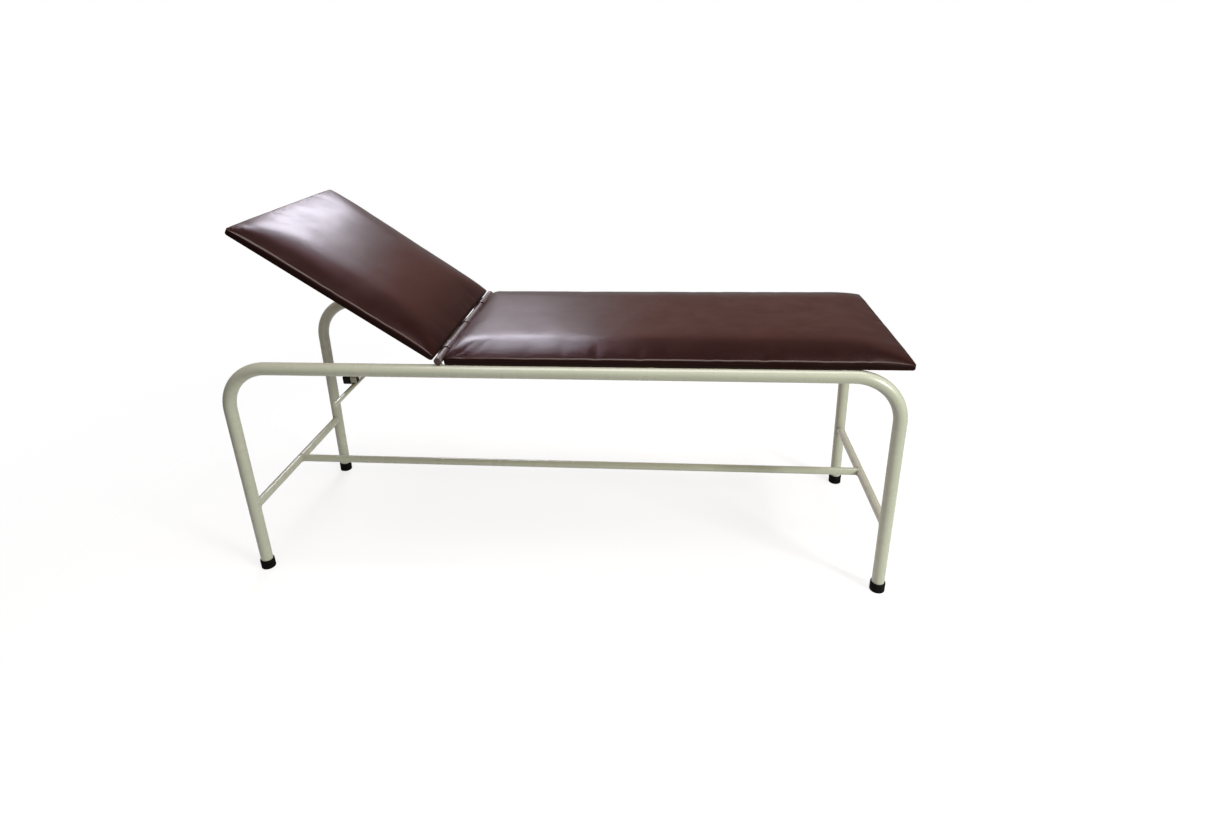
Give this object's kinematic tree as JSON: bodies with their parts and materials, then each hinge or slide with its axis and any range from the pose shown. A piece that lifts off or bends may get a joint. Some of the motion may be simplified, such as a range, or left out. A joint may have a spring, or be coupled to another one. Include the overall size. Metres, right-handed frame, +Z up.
{
  "type": "examination couch",
  "caption": "Padded examination couch with a tilting backrest on a notched bar, flat pad, bent-tube side frames, low stretcher and rubber feet.",
  "frame": {"origin": "on the floor at the middle of the couch, under the centre of its rest-pose box", "axes": "+X along the couch towards the foot end, +Y across it to the far side, +Z up"},
  "size_m": [1.9222, 0.643, 1.0662],
  "materials": {
    "enamel": "cream gloss enamel",
    "vinyl": "dark maroon glossy vinyl-coated cloth over foam",
    "board": "plain plywood",
    "rubber": "matt black, ribbed",
    "plastic": "black, moulded",
    "steel": "bright zinc plate"
  },
  "bodies": {
    "frame": {"far_side_frame": "enamel", "foot_cross_tube": "enamel", "head_cross_tube": "enamel", "hinge_bar": "enamel", "keeper_nut": "steel", "keeper_pin": "steel", "keeper_plate": "enamel", "long_stretcher": "enamel", "near_side_frame": "enamel", "rubber_foot_far_foot": "rubber", "rubber_foot_far_head": "rubber", "rubber_foot_near_foot": "rubber", "rubber_foot_near_head": "rubber", "seat_board": "board", "seat_cushion": "vinyl", "seat_foot_cross_tube": "enamel", "seat_head_cross_tube": "enamel", "seat_mid_cross_tube": "enamel", "seat_screw_foot_far": "steel", "seat_screw_foot_near": "steel", "seat_screw_head_far": "steel", "seat_screw_head_near": "steel", "seat_screw_mid_far": "steel", "seat_screw_mid_near": "steel"},
    "backrest": {"backrest_board": "board", "backrest_centre_rail": "enamel", "backrest_cushion": "vinyl", "backrest_head_cross_rail": "enamel", "backrest_mid_cross_rail": "enamel", "backrest_rail_far": "enamel", "backrest_rail_near": "enamel", "backrest_screw_far_1": "steel", "backrest_screw_far_2": "steel", "backrest_screw_near_1": "steel", "backrest_screw_near_2": "steel", "crank_pin": "steel", "crank_pin_clip": "steel", "crank_plate_far": "enamel", "crank_plate_near": "enamel", "hinge_sleeve_centre": "enamel", "hinge_sleeve_far": "enamel", "hinge_sleeve_near": "enamel"},
    "ratchet_bar": {"ratchet_bar": "enamel", "handle_socket": "enamel", "socket_cap": "plastic", "cross_handle": "enamel", "handle_tip_near": "enamel", "handle_tip_far": "enamel"}
  },
  "joints": [
    {"name": "backrest_tilt", "type": "hinge", "parent": "frame", "child": "backrest", "pos_m": [-0.295, 0, 0.70895], "axis": [0, 1, 0], "range_deg": [-34.7, 30.3]},
    {"name": "ratchet_bar_swing", "type": "hinge", "parent": "backrest", "child": "ratchet_bar", "pos_m": [-0.295, 0, 0.55595], "axis": [0, 1, 0], "range_deg": [-31, 35]}
  ],
  "couplings": [
    {"joint": "ratchet_bar_swing", "follows": "backrest_tilt", "ratio": -1}
  ]
}
